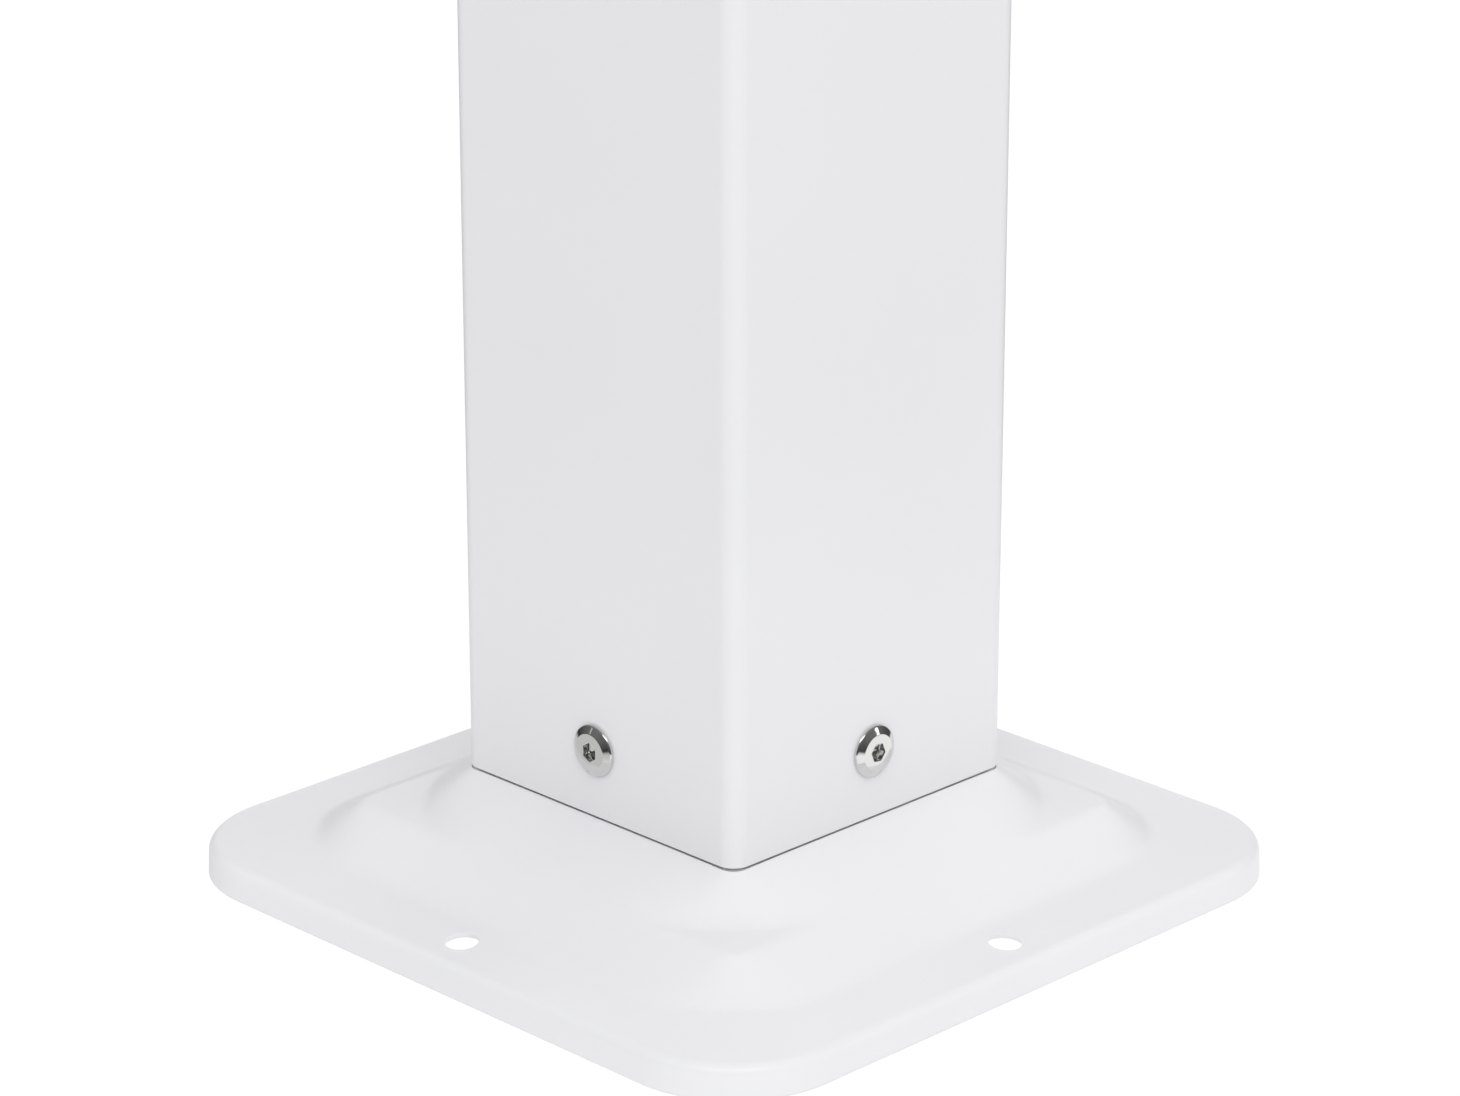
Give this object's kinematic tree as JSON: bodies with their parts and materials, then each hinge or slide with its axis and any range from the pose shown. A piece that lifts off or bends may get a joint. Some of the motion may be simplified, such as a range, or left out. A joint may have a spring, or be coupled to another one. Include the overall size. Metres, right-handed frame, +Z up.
{
  "type": "store entrance swing gate",
  "caption": "Free-standing square post on a pressed steel foot, with a sprung tubular swing leaf, pivots, stops and a key lock.",
  "frame": {"origin": "middle of the foot on the floor, on the post's own axis", "axes": "+Z up the post, +X along the closed leaf, +Y the side the leaf opens to"},
  "size_m": [0.8472, 0.2144, 0.948],
  "materials": {
    "white_powder": "satin powder coat with a faint orange peel",
    "leaf_powder": "satin powder coat over aluminium tube",
    "chrome_bolts": "polished",
    "zinc_steel": "zinc plated",
    "spring_steel": "bright wire",
    "black_rubber": "matt",
    "grey_nylon": "matt",
    "lock_metal": "satin nickel"
  },
  "bodies": {
    "post": {"base_plate": "white_powder", "base_socket": "zinc_steel", "socket_nuts": "zinc_steel", "post_tube": "white_powder", "post_bolts": "chrome_bolts", "post_cap": "white_powder", "lower_bracket": "white_powder", "upper_bracket": "white_powder", "bracket_bolts": "chrome_bolts", "bracket_nuts": "zinc_steel", "lower_pivot_pin": "zinc_steel", "upper_pivot_pin": "zinc_steel", "pin_nuts": "zinc_steel", "closer_spring": "spring_steel", "stop_bumpers": "black_rubber", "bumper_screws": "chrome_bolts", "lock_housing": "white_powder", "lock_screws": "chrome_bolts"},
    "leaf": {"pivot_tube": "leaf_powder", "lower_bush": "grey_nylon", "upper_bush": "grey_nylon", "leaf_frame": "leaf_powder", "infill_bars": "leaf_powder", "stop_collar": "zinc_steel", "collar_screw": "zinc_steel"},
    "bolt": {"lock_bolt": "zinc_steel"},
    "key": {"key_cylinder": "lock_metal", "lock_key": "lock_metal"}
  },
  "joints": [
    {"name": "leaf_swing", "type": "hinge", "parent": "post", "child": "leaf", "pos_m": [0.095, 0, 0.6], "axis": [0, 0, 1], "range_deg": [0, 90], "stiffness_Nm_per_rad": 2, "springref_deg": -17.19, "deforming": ["closer_spring"]},
    {"name": "key_turn", "type": "hinge", "parent": "post", "child": "key", "pos_m": [0.06, 0, 0.6493], "axis": [0, -1, 0], "range_deg": [0, 90]},
    {"name": "bolt_slide", "type": "slide", "parent": "post", "child": "bolt", "axis": [1, 0, 0], "range_m": [0, 0.008]}
  ],
  "couplings": [
    {"joint": "bolt_slide", "follows": "key_turn", "m_per_rad": 0.00509}
  ]
}
